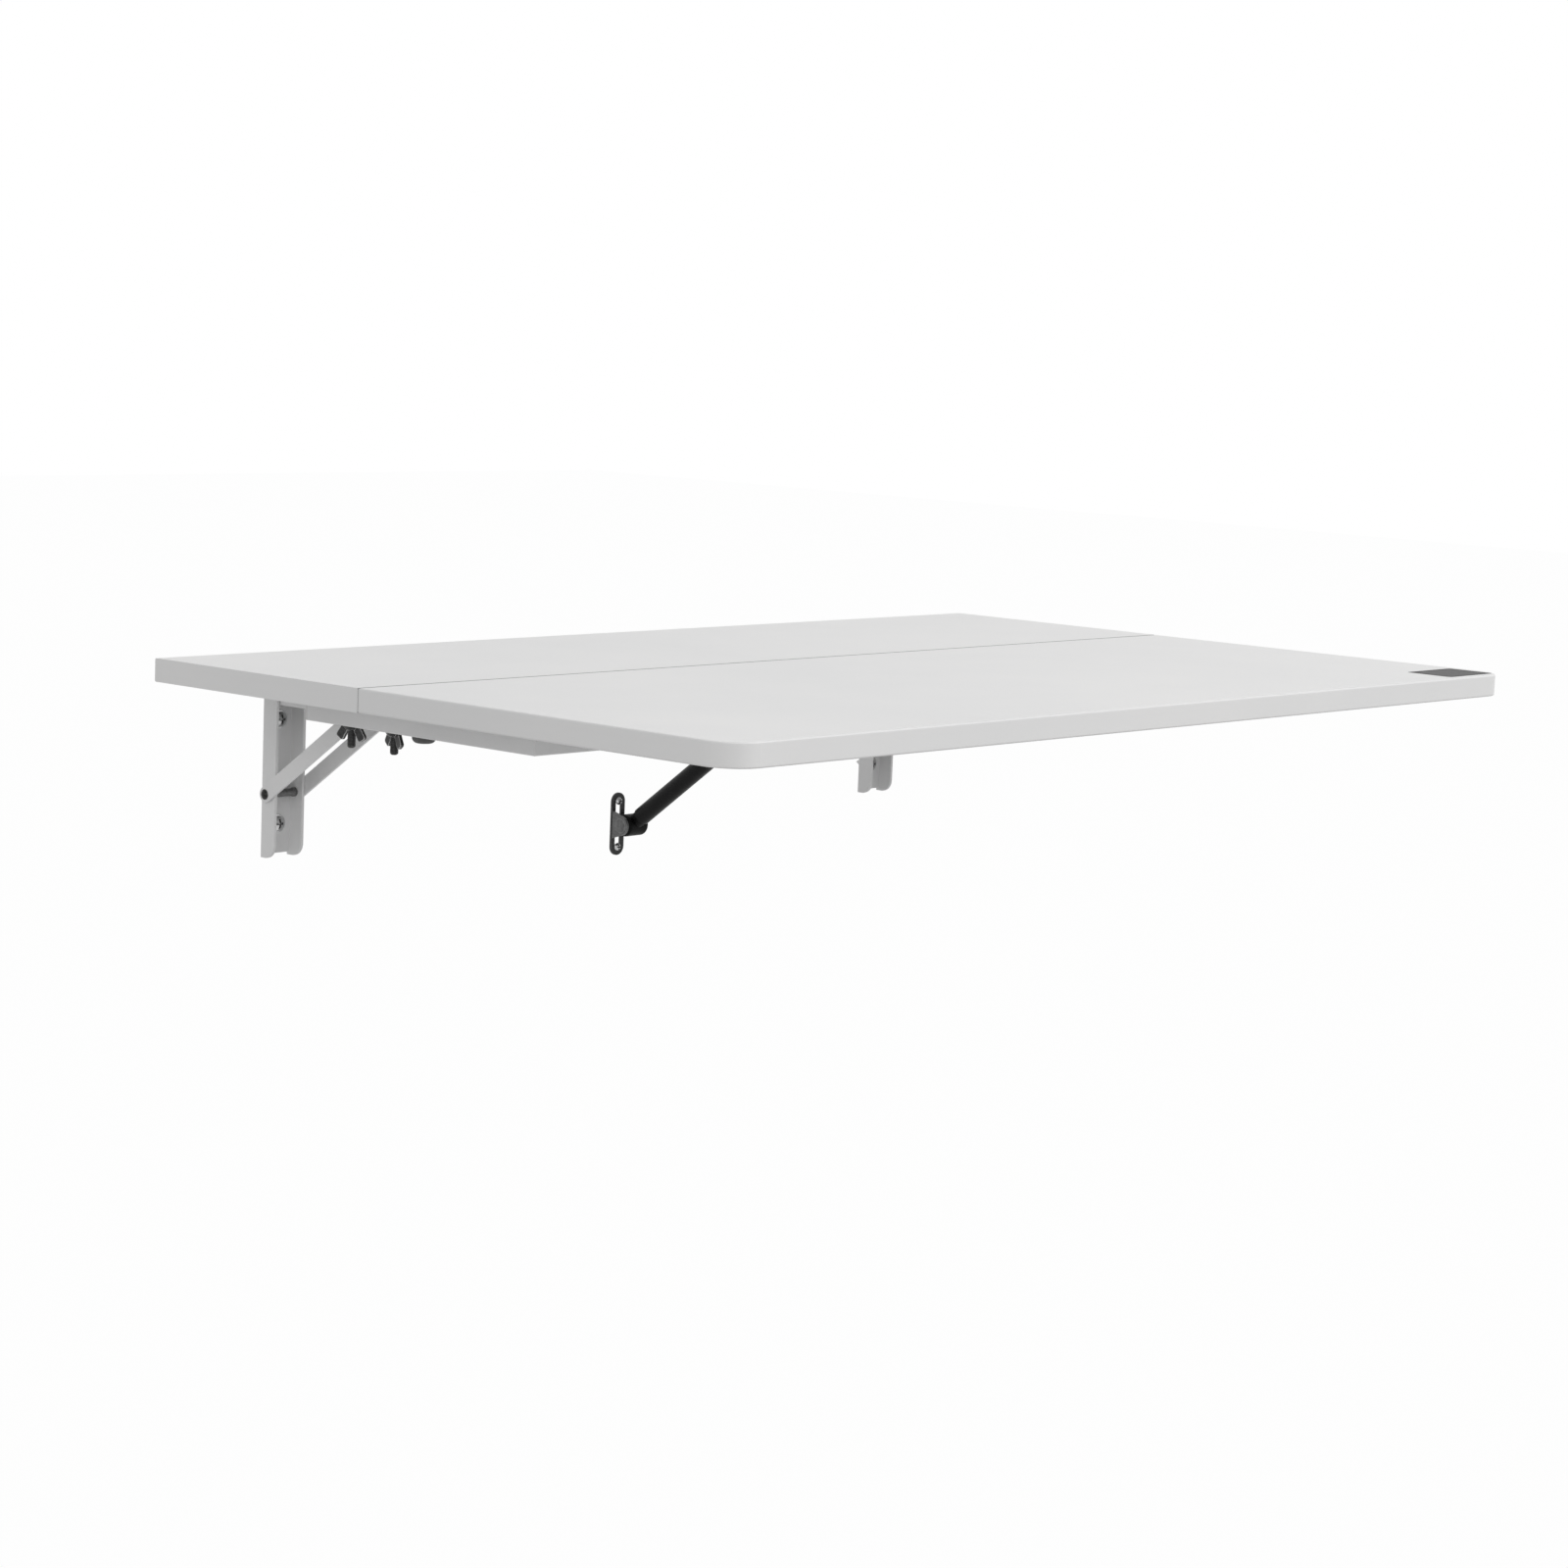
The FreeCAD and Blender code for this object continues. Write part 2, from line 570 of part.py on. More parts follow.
def insert(x, depth):
    body = bar_down(x, depth, BOARD_THICK - INSERT_LENGTH, BOARD_THICK, INSERT_R)
    return body.cut(bar_down(x, depth, 0, TUBE_BOTTOM_DROP, STUD_R + FIT_GAP))


def wing_nut(depth, turn_deg):
    """Wing nut that hangs under the tube: a tapered hub with two wings that flare outwards."""
    seat = at(-NUT_X, depth, TUBE_BOTTOM_DROP)
    hub = Part.makeCone(NUT_BASE_R, NUT_TOP_R, NUT_HEIGHT, seat, -AXIS_Z)
    nut = hub
    for side in (-1, 1):
        nut = nut.fuse(wing(depth, side))
    bore = bar_down(-NUT_X, depth, TUBE_BOTTOM_DROP - OVERRUN, TUBE_BOTTOM_DROP + WING_REACH + OVERRUN,
                    STUD_R + FIT_GAP)
    nut = nut.removeSplitter().cut(bore)
    nut.rotate(seat, AXIS_Z, turn_deg)
    return nut


def wing(depth, side):
    """One steep wing with rounded corners, on the front or the rear of the hub."""
    x0 = -NUT_X - WING_THICK / 2
    root = STUD_R + 2 * FIT_GAP
    reaches = [(root, 0), (WING_FOOT_R, 0), (WING_SPAN_R, WING_SHOULDER),
               (WING_SPAN_R - WING_TIP_WIDTH, WING_REACH), (root, NUT_HEIGHT)]
    places = [(depth + side * out, TUBE_BOTTOM_DROP + down) for out, down in reaches]
    plate = side_plate(x0, x0 + WING_THICK, places)
    tips = [edge for edge in edges_along(plate, AXIS_X)
            if edge.CenterOfMass.z < at(0, 0, TUBE_BOTTOM_DROP + NUT_HEIGHT).z - FIT_GAP]
    return plate.makeFillet(WING_TIP_R, tips)


def left_bumper():
    disc = bar_down(-NUT_X, BUMPER_DEPTH, TUBE_BOTTOM_DROP, TUBE_BOTTOM_DROP + BUMPER_HEIGHT, BUMPER_R)
    low = [edge for edge in disc.Edges if edge.BoundBox.ZLength < FIT_GAP
           and edge.CenterOfMass.z < at(0, 0, TUBE_BOTTOM_DROP + BUMPER_HEIGHT / 2).z]
    return disc.makeFillet(BUMPER_DOME_R, low)


def wall_plate():
    """Slotted wall plate of the strut with a round ear bent out at its left edge."""
    x0 = STRUT_EAR_X
    x1 = x0 + WALL_PLATE_WIDTH
    top = STRUT_FOOT_DROP - WALL_PLATE_HEIGHT / 2
    plate = slab(x0, x1, 0, WALL_PLATE_THICK, top, top + WALL_PLATE_HEIGHT)
    plate = plate.makeFillet(WALL_PLATE_WIDTH / 2 - FIT_GAP, edges_along(plate, AXIS_Y))
    for middle in (STRUT_FOOT_DROP - SLOT_SPACING / 2, STRUT_FOOT_DROP + SLOT_SPACING / 2):
        half = (SLOT_LENGTH - SLOT_WIDTH) / 2
        mid_x = (x0 + x1) / 2
        slot = slab(mid_x - SLOT_WIDTH / 2, mid_x + SLOT_WIDTH / 2, -OVERRUN, WALL_PLATE_THICK + OVERRUN,
                    middle - half, middle + half)
        for drop in (middle - half, middle + half):
            slot = slot.fuse(bar_out(mid_x, -OVERRUN, WALL_PLATE_THICK + OVERRUN, drop, SLOT_WIDTH / 2))
        plate = plate.cut(slot)
    out, down = ear_touch()
    ear = side_plate(x0, x0 + EAR_THICK, [(0, STRUT_FOOT_DROP - EAR_FOOT / 2),
                                          (STRUT_FOOT_DEPTH + out, STRUT_FOOT_DROP - down),
                                          (STRUT_FOOT_DEPTH + out, STRUT_FOOT_DROP + down),
                                          (0, STRUT_FOOT_DROP + EAR_FOOT / 2)])
    ear = ear.fuse(bar_x(x0, x0 + EAR_THICK, STRUT_FOOT_DEPTH, STRUT_FOOT_DROP, EAR_R))
    plate = plate.fuse(ear).removeSplitter()
    return plate.cut(bar_x(x0 - OVERRUN, x0 + EAR_THICK + OVERRUN, STRUT_FOOT_DEPTH, STRUT_FOOT_DROP,
                           STRUT_STUD_R + FIT_GAP))


def ear_touch():
    """Where the straight sides of the ear meet its round nose, out and down from the pivot."""
    reach = math.hypot(STRUT_FOOT_DEPTH, EAR_FOOT / 2)
    lean = math.acos(EAR_R / reach) - math.atan2(EAR_FOOT / 2, -STRUT_FOOT_DEPTH)
    return EAR_R * math.cos(lean), -EAR_R * math.sin(lean)


def plate_screw_drops():
    return (STRUT_FOOT_DROP - PLATE_SCREW_SPACING / 2, STRUT_FOOT_DROP + PLATE_SCREW_SPACING / 2)


def plate_screw(drop):
    seat = at(STRUT_EAR_X + WALL_PLATE_WIDTH / 2, WALL_PLATE_THICK, drop)
    return pointed_screw(seat, -AXIS_Y, PLATE_SCREW_HEAD_R, PLATE_SCREW_HEAD, PLATE_SCREW_R,
                         WALL_PLATE_THICK + PLATE_SCREW_REACH, WALL_SCREW_TIP)


def strut_stud(depth, drop, bite):
    """Pivot stud with its rivet head on the left of an ear; bite is how far it passes the ear."""
    head = dome(at(STRUT_EAR_X, depth, drop), -AXIS_X, STRUT_STUD_HEAD_R, STRUT_STUD_HEAD)
    pin = bar_x(STRUT_EAR_X, STRUT_EAR_X + EAR_THICK + bite, depth, drop, STRUT_STUD_R)
    return head.fuse(pin).removeSplitter()


def strut_bracket():
    """Bracket under the back board that holds the strut's upper end."""
    middle = bracket_mid_x()
    base = slab(middle - BRACKET_LENGTH / 2, middle + BRACKET_LENGTH / 2,
                STRUT_HEAD_DEPTH - BRACKET_WIDTH / 2, STRUT_HEAD_DEPTH + BRACKET_WIDTH / 2,
                BOARD_THICK, BOARD_THICK + BRACKET_THICK)
    base = base.makeFillet(BRACKET_WIDTH * BRACKET_CORNER_SHARE, edges_along(base, AXIS_Z))
    x0 = STRUT_EAR_X
    ear = slab(x0, x0 + EAR_THICK, STRUT_HEAD_DEPTH - EAR_R, STRUT_HEAD_DEPTH + EAR_R,
               BOARD_THICK, STRUT_HEAD_DROP)
    ear = ear.fuse(bar_x(x0, x0 + EAR_THICK, STRUT_HEAD_DEPTH, STRUT_HEAD_DROP, EAR_R))
    bracket = base.fuse(ear).removeSplitter()
    bracket = bracket.cut(bar_x(x0 - OVERRUN, x0 + EAR_THICK + OVERRUN, STRUT_HEAD_DEPTH, STRUT_HEAD_DROP,
                                STRUT_STUD_R + FIT_GAP))
    for x in bracket_screw_places():
        bracket = bracket.cut(wood_screw_hole(x, STRUT_HEAD_DEPTH, BRACKET_THICK))
    return bracket


def along_strut(reach):
    """Point on the strut's axis, measured from its foot pivot."""
    share = reach / STRUT_LENGTH
    return at(STRUT_MID_X, STRUT_FOOT_DEPTH, STRUT_FOOT_DROP) + STRUT_AXIS * share


def strut_bar(start, end, radius):
    """Round bar on the strut's axis between two distances from its foot pivot."""
    return Part.makeCylinder(radius, end - start, along_strut(start), STRUT_AXIS)


def barrel_end(middle, neck_start, neck_end):
    """End fitting: a barrel across the strut with a neck that points along it."""
    depth = -along_strut(middle).y
    drop = SCREW_MID_DROP - along_strut(middle).z
    x0 = STRUT_MID_X - BARREL_LENGTH / 2
    barrel = bar_x(x0, x0 + BARREL_LENGTH, depth, drop, BARREL_R)
    rims = [edge for edge in barrel.Edges if edge.BoundBox.XLength < FIT_GAP]
    barrel = barrel.makeFillet(BARREL_EDGE_R, rims)
    neck = strut_bar(neck_start, neck_end, NECK_R)
    bore = bar_x(x0 - OVERRUN, x0 + STUD_BITE + OVERRUN, depth, drop, STRUT_STUD_R + FIT_GAP)
    return barrel.fuse(neck).removeSplitter().cut(bore)


def strut_cylinder():
    end = NECK_REACH + CYLINDER_LENGTH
    body = strut_bar(NECK_REACH, end, CYLINDER_R)
    return body.cut(strut_bar(NECK_REACH + CYLINDER_FLOOR, end + OVERRUN, CYLINDER_R - CYLINDER_WALL))


def strut_gland():
    start = NECK_REACH + CYLINDER_LENGTH
    body = strut_bar(start, start + GLAND_LENGTH, GLAND_R)
    return body.cut(strut_bar(start - OVERRUN, start + GLAND_LENGTH + OVERRUN, ROD_R + FIT_GAP))


def strut_rod():
    start = NECK_REACH + CYLINDER_LENGTH - ROD_TAIL
    return strut_bar(start, STRUT_LENGTH - NECK_REACH, ROD_R)


def strut_piston():
    start = NECK_REACH + CYLINDER_LENGTH - ROD_TAIL - PISTON_LENGTH
    return strut_bar(start, start + PISTON_LENGTH, CYLINDER_R - CYLINDER_WALL - FIT_GAP)


def main():
    os.makedirs("parts", exist_ok=True)
    sides = (-RAIL_MID_X, RAIL_MID_X)

    # Fixed to the wall
    save_pair("wall_rail", left_rail())
    save("rail_wall_screws", [rail_screw(x, drop) for x in sides for drop in screw_drops()])
    save("rail_screw_washers", [washer(x, drop) for x in sides for drop in screw_drops()])
    save_pair("fold_rivet", headed_pin(RAIL_WIDTH / 2, FOLD_PIVOT_DEPTH, FOLD_PIVOT_DROP,
                                       PIVOT_R, PIVOT_HEAD_R, PIVOT_HEAD))
    brace_grip = RAIL_WIDTH / 2 + SIDE_GAP + BRACE_THICK + SIDE_GAP / 2
    save_pair("brace_bolt", headed_pin(brace_grip, BRACE_BOLT_DEPTH, BRACE_BOLT_DROP,
                                       BRACE_BOLT_R, BRACE_BOLT_HEAD_R, BRACE_BOLT_HEAD))
    save("strut_wall_plate", wall_plate())
    save("strut_wall_stud", strut_stud(STRUT_FOOT_DEPTH, STRUT_FOOT_DROP, BARREL_GAP + STUD_BITE))
    save("strut_plate_screws", [plate_screw(drop) for drop in plate_screw_drops()])

    # Carried by the folding top
    save("back_board", back_board())
    save("front_board", front_board())
    save("corner_plate", corner_plate())
    save_pair("arm", left_arm())
    save_pair("arm_screws", [wood_screw(-RAIL_MID_X, depth, ARM_WALL) for depth in ARM_SCREW_DEPTHS])
    save_pair("frame_tube", left_tube())
    save("front_frame_tube", front_tube())
    save_pair("tube_cap", left_cap())
    frame_screw_depth = FRAME_FRONT_DEPTH - TUBE_SIZE / 2
    save("frame_screws", [wood_screw(x, frame_screw_depth, TUBE_SIZE) for x in frame_screw_places()])
    save("board_inserts", [insert(x, depth) for x in (-NUT_X, NUT_X) for depth in NUT_DEPTHS])
    save_pair("wing_studs", [stud(depth) for depth in NUT_DEPTHS])
    save_pair("wall_bumper", left_bumper())
    save("strut_bracket", strut_bracket())
    save("strut_head_stud", strut_stud(STRUT_HEAD_DEPTH, STRUT_HEAD_DROP, 0))
    bracket_screws = [wood_screw(x, STRUT_HEAD_DEPTH, BRACKET_THICK) for x in bracket_screw_places()]
    save("strut_bracket_screws", bracket_screws)

    # Pieces that move on their own
    outer_x, inner_x = brace_places()
    save_pair("outer_brace", brace(outer_x))
    save_pair("inner_brace", brace(inner_x))
    save_pair("brace_rivets", brace_rivets())
    save_pair("slide_pin", slide_pin())
    rear_nut_depth, front_nut_depth = NUT_DEPTHS
    save_pair("rear_wing_nut", wing_nut(rear_nut_depth, 0))
    save_pair("front_wing_nut", wing_nut(front_nut_depth, FRONT_NUT_TURN_DEG))
    save("strut_foot_barrel", barrel_end(0, 0, NECK_REACH))
    save("strut_cylinder", strut_cylinder())
    save("strut_gland", strut_gland())
    save("strut_rod", strut_rod())
    save("strut_piston", strut_piston())
    save("strut_head_barrel", barrel_end(STRUT_LENGTH, STRUT_LENGTH - NECK_REACH, STRUT_LENGTH))

    # Travels that the joints need
    turn = math.radians(FOLD_LIMIT_DEG)
    rise = math.degrees(math.atan2(BRACE_BOLT_DROP - BRACE_PIN_DROP, BRACE_PIN_DEPTH - BRACE_BOLT_DEPTH))
    pin_down = SLOT_END * math.sin(turn) + SLOT_DROP * math.cos(turn) + FOLD_PIVOT_DROP
    pin_out = SLOT_END * math.cos(turn) - SLOT_DROP * math.sin(turn) + FOLD_PIVOT_DEPTH
    fall = math.degrees(math.atan2(pin_down - BRACE_BOLT_DROP, pin_out - BRACE_BOLT_DEPTH))
    print("brace swing", rise + fall, "slide travel", SLOT_END - SLOT_START)
    print("strut rise", math.degrees(math.atan2(STRUT_AXIS.z, -STRUT_AXIS.y)), "length", STRUT_LENGTH)


main()
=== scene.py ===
import json
import math

import bmesh
import bpy
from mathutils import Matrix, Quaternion, Vector


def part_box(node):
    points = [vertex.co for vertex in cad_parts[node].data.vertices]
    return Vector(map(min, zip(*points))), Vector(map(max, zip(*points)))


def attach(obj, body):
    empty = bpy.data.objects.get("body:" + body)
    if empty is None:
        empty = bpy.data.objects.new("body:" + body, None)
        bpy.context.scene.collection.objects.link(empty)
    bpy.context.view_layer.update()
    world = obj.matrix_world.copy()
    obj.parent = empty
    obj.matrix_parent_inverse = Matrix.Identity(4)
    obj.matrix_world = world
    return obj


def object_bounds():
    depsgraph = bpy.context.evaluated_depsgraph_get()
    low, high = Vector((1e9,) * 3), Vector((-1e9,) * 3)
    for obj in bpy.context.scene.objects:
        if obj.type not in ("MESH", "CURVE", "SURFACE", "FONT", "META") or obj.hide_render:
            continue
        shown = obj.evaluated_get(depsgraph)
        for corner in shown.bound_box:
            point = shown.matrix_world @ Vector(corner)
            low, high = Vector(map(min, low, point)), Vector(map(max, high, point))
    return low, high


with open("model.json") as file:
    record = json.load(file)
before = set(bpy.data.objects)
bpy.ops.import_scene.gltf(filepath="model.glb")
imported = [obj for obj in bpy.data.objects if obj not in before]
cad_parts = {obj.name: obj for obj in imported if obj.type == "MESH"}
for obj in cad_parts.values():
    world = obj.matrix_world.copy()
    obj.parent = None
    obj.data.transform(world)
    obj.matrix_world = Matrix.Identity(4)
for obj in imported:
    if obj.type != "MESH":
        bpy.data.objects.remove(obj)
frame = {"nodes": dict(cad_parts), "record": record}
cad_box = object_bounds()
nodes = frame["nodes"]
record = frame["record"]

MM = 0.001

# Camera, in metres of the frame
CAMERA_PLACE = Vector((-1.8702, -1.8532, 0.3191))
CAMERA_AIM = Vector((0.0955, -0.0945, -0.0253))
CAMERA_ROLL_DEG = 2.292
FOCAL_SHARE = 2.3606
SENSOR_WIDTH = 36.0

# Floor and light
FLOOR_BELOW = 2.4
FLOOR_HALF = 40.0
FLOOR_WHITE_SHARE = 0.98
FLOOR_GREY = 0.62
FLOOR_ROUGHNESS = 0.9
AMBIENT = 0.54
KEY_PLACE = Vector((1.7, -3.0, 2.6))
KEY_SIZE = 2.4
KEY_POWER = 72.0
FILL_PLACE = Vector((-2.7, -1.9, 0.9))
FILL_SIZE = 2.0
FILL_POWER = 15.5

# Spacer sleeves on the brace bolts
LATHE_STEPS = 40
RAIL_SHEET = 2.0 * MM
SLEEVE_BORE = 2.12 * MM
SLEEVE_WALL = 0.45 * MM
SLEEVE_COLLAR = 2.2 * MM
SLEEVE_LIP_SHARE = 0.8

# Edges broken on sheet metal and castings
SHEET_BREAK = 0.25 * MM
CAST_BREAK = 0.55 * MM
BREAK_STEPS = 3
BREAK_ANGLE = math.radians(32)
WELD_GAP = 0.002 * MM
FLAT_ANGLE = math.radians(0.8)

# Dust and painted shade in the joint of the boards
JOINT_DARK = 0.8 * MM
JOINT_PLAIN = 1.5 * MM
JOINT_END_SHARE = 0.12

# Worn edges, painted edge highlights, rubbed places and painted shade in recesses on the steel
EDGE_SAMPLES = 4
EDGE_FULL_SHARE = 0.82
EDGE_NONE_SHARE = 0.995
RUB_START = 2.0 * MM
RUB_FADE = 0.6 * MM
RECESS_REACH = 2.0 * MM
RECESS_SAMPLES = 6
RECESS_SHADED_SHARE = 0.6
RECESS_UNSHADED_SHARE = 0.95

# Border of the corner plate
RIM_START_SHARE = 0.78
RIM_FULL_SHARE = 0.86

# Threads
THREAD_STEPS = 28
THREAD_FADE_TURNS = 0.6
THREAD_SINK_SHARE = 0.96
THREAD_FOOT_SHARE = 0.86
THREAD_LEAST_SHARE = 0.02
MACHINE_PITCH = 0.9 * MM
MACHINE_CREST = 0.3 * MM
WOOD_PITCH = 2.0 * MM
WOOD_CREST = 0.62 * MM
WOOD_POINT = 4.0 * MM
HUB_SHARE = 0.35
TIP_SHARE = 0.25


def add(tree, kind, inputs=None, **settings):
    """New shader node. An input is either a value or the output of another node."""
    made = tree.nodes.new(kind)
    for key, value in settings.items():
        setattr(made, key, value)
    for key, value in (inputs or {}).items():
        if isinstance(value, bpy.types.NodeSocket):
            tree.links.new(value, made.inputs[key])
        else:
            made.inputs[key].default_value = value
    return made


def grey(level, warm=0.0):
    """Neutral colour, a little warm or cool."""
    return (level * (1 + warm), level, level * (1 - warm), 1)


class Finish:
    """One procedural material and the few node patterns that the finishes share."""

    def __init__(self, name):
        self.material = bpy.data.materials.new(name)
        self.material.use_nodes = True
        self.tree = self.material.node_tree
        self.shader = self.tree.nodes["Principled BSDF"]
        self.place = add(self.tree, "ShaderNodeTexCoord").outputs["Object"]

    def stretched(self, scale):
        return add(self.tree, "ShaderNodeMapping", {"Vector": self.place, "Scale": scale}).outputs["Vector"]

    def noise(self, scale, detail=2.0, place=None):
        inputs = {"Vector": place or self.place, "Scale": scale, "Detail": detail}
        return add(self.tree, "ShaderNodeTexNoise", inputs).outputs["Fac"]

    def between(self, value, low, high, start=0.3, end=0.7):
        """Value stretched from the span start to end onto the span low to high."""
        inputs = {"Value": value, "From Min": start, "From Max": end, "To Min": low, "To Max": high}
        return add(self.tree, "ShaderNodeMapRange", inputs).outputs["Result"]

    def mix(self, share, first, second):
        made = add(self.tree, "ShaderNodeMix", data_type="RGBA")
        for socket, value in zip((made.inputs[0], made.inputs[6], made.inputs[7]), (share, first, second)):
            if isinstance(value, bpy.types.NodeSocket):
                self.tree.links.new(value, socket)
            else:
                socket.default_value = value
        return made.outputs[2]

    def two_tone(self, pattern, first, second):
        """Colour that goes from the first to the second with a pattern."""
        return self.mix(self.between(pattern, 0, 1), first, second)

    def math(self, operation, first, second=0.0):
        return add(self.tree, "ShaderNodeMath", {0: first, 1: second}, operation=operation).outputs[0]

    def part(self, axis, vector=None):
        """One coordinate of a vector, or else of the place on the object."""
        return add(self.tree, "ShaderNodeSeparateXYZ", {"Vector": vector or self.place}).outputs[axis]

    def wear_and_highlight(self, radius, scale, low, high):
        """Share of patchy edge marks, used both for wear and for painted highlight: none on flat faces, most
        on outer edges and corners.
        """
        rounded = add(self.tree, "ShaderNodeBevel", {"Radius": radius}, samples=EDGE_SAMPLES)
        flat = add(self.tree, "ShaderNodeNewGeometry")
        normals = {0: rounded.outputs["Normal"], 1: flat.outputs["Normal"]}
        same = add(self.tree, "ShaderNodeVectorMath", normals, operation="DOT_PRODUCT")
        edges = self.between(same.outputs["Value"], 1, 0, EDGE_FULL_SHARE, EDGE_NONE_SHARE)
        return self.math("MULTIPLY", edges, self.between(self.noise(scale), low, high))

    def bump(self, height, strength, distance):
        inputs = {"Height": height, "Strength": strength, "Distance": distance}
        made = add(self.tree, "ShaderNodeBump", inputs)
        self.tree.links.new(made.outputs["Normal"], self.shader.inputs["Normal"])

    def set(self, **inputs):
        for key, value in inputs.items():
            socket = self.shader.inputs[key.replace("_", " ")]
            if isinstance(value, bpy.types.NodeSocket):
                self.tree.links.new(value, socket)
            else:
                socket.default_value = value


def white_board():
    """Satin white laminate: faint clouds, fine stipple and a joint between the two boards darkened by dust
    and by painted shade of the groove.
    """
    finish = Finish("white_board")
    cloud = finish.noise(scale=7.0, detail=3.0)
    stipple = finish.noise(scale=1500.0)
    body = finish.two_tone(cloud, grey(0.775), grey(0.805, warm=0.004))
    joint = (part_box("back_board")[0].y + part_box("front_board")[1].y) / 2
    away = finish.math("ABSOLUTE", finish.math("SUBTRACT", finish.part("Y"), joint))
    facing = add(finish.tree, "ShaderNodeNewGeometry").outputs["True Normal"]
    sideways = finish.math("ABSOLUTE", finish.part("X", facing))
    # Band along the joint darkened to grey, weaker on the board ends: dust, and painted shade of the groove
    # between the boards.
    tone_mask = finish.math("MULTIPLY", finish.between(away, 1, 0, start=JOINT_DARK, end=JOINT_PLAIN),
                       finish.between(sideways, 1, JOINT_END_SHARE))
    finish.set(Base_Color=finish.mix(tone_mask, body, grey(0.2)),
               Roughness=finish.between(stipple, low=0.36, high=0.5), Specular_IOR_Level=0.4)
    finish.bump(stipple, strength=0.1, distance=0.06 * MM)
    return finish.material


def white_steel():
    """White powder coat with orange peel, with a painted highlight on its edges."""
    finish = Finish("white_steel")
    peel = finish.noise(scale=900.0, detail=1.5)
    body = finish.two_tone(finish.noise(scale=22.0, detail=3.0), grey(0.765), grey(0.81))
    # Paler patchy edges: painted highlight.
    pale_edges = finish.wear_and_highlight(radius=0.5 * MM, scale=160.0, low=0.1, high=0.55)
    finish.set(Base_Color=finish.mix(pale_edges, body, grey(0.84)),
               Roughness=finish.between(peel, low=0.34, high=0.46))
    finish.bump(peel, strength=0.22, distance=0.12 * MM)
    return finish.material


def white_plastic():
    """Moulded white plastic with a fine spark texture."""
    finish = Finish("white_plastic")
    spark = finish.noise(scale=2600.0, detail=1.0)
    cloud = finish.noise(scale=40.0)
    finish.set(Base_Color=finish.mix(cloud, grey(0.70, warm=0.01), grey(0.75, warm=0.01)),
               Roughness=finish.between(spark, low=0.45, high=0.6))
    finish.bump(spark, strength=0.2, distance=0.05 * MM)
    return finish.material


def grey_rubber():
    """Grey rubber with dull, dusty patches."""
    finish = Finish("grey_rubber")
    tone_mask = finish.noise(scale=300.0, detail=4.0)
    finish.set(Base_Color=finish.two_tone(tone_mask, grey(0.08), grey(0.14)),
               Roughness=finish.between(tone_mask, low=0.62, high=0.85))
    finish.bump(tone_mask, strength=0.15, distance=0.08 * MM)
    return finish.material


def dark_steel():
    """Blackened steel: cast grain, rubbed edges and a soft shine."""
    finish = Finish("dark_steel")
    grain = finish.noise(scale=700.0, detail=4.0)
    body = finish.two_tone(grain, grey(0.014), grey(0.045))
    rubbed = finish.wear_and_highlight(radius=0.6 * MM, scale=420.0, low=0.2, high=0.9)
    finish.set(Base_Color=finish.mix(rubbed, body, grey(0.24)), Metallic=0.9,
               Roughness=finish.between(grain, low=0.3, high=0.5))
    finish.bump(grain, strength=0.25, distance=0.06 * MM)
    return finish.material


def nut_steel():
    """Stamped steel of the wing nuts: dark faces, with a painted highlight along the edges."""
    finish = Finish("nut_steel")
    grain = finish.noise(scale=640.0, detail=4.0)
    body = finish.two_tone(grain, grey(0.018), grey(0.055))
    # Edges painted near white: painted highlight.
    edge_highlight = finish.wear_and_highlight(radius=0.9 * MM, scale=260.0, low=0.6, high=1.0)
    finish.set(Base_Color=finish.mix(edge_highlight, body, grey(0.86)), Metallic=0.85,
               Roughness=finish.between(grain, low=0.3, high=0.46))
    finish.bump(grain, strength=0.2, distance=0.05 * MM)
    return finish.material


def strut_steel():
    """Dark zinc plated steel, rubbed to a paler grey on what stands out from the wall plate."""
    finish = Finish("strut_steel")
    grain = finish.noise(scale=520.0, detail=4.0)
    rubbed = finish.between(finish.part("Y"), 1, 0, start=-RUB_START - RUB_FADE, end=-RUB_START)
    dark = finish.two_tone(grain, grey(0.022), grey(0.055))
    pale = finish.two_tone(grain, grey(0.11), grey(0.19))
    # Paler edges: wear, together with a painted highlight.
    pale_edges = finish.wear_and_highlight(radius=0.5 * MM, scale=300.0, low=0.1, high=0.7)
    finish.set(Base_Color=finish.mix(pale_edges, finish.mix(rubbed, dark, pale), grey(0.42)), Metallic=0.35,
               Roughness=finish.between(grain, low=0.38, high=0.55), Specular_IOR_Level=0.3)
    finish.bump(grain, strength=0.2, distance=0.05 * MM)
    return finish.material


def bright_steel():
    """Zinc plated steel with fine drawn lines, dull spots and painted shade in its recesses."""
    finish = Finish("bright_steel")
    lines = finish.noise(scale=60.0, detail=3.0, place=finish.stretched((4, 60, 60)))
    spots = finish.noise(scale=380.0, detail=3.0)
    body = finish.two_tone(lines, grey(0.46, warm=-0.01), grey(0.68))
    body = finish.mix(finish.between(spots, low=0, high=0.4), body, grey(0.3))
    # Recesses darkened to near black and made less metallic: painted shade.
    open_share = add(finish.tree, "ShaderNodeAmbientOcclusion", {"Distance": RECESS_REACH},
                     samples=RECESS_SAMPLES, only_local=True).outputs["AO"]
    recess_shade = finish.between(open_share, 1, 0, start=RECESS_SHADED_SHARE, end=RECESS_UNSHADED_SHARE)
    finish.set(Base_Color=finish.mix(recess_shade, body, grey(0.015)),
               Metallic=finish.between(recess_shade, 1, 0, start=0, end=1),
               Roughness=finish.between(spots, low=0.24, high=0.4))
    finish.bump(lines, strength=0.12, distance=0.03 * MM)
    return finish.material


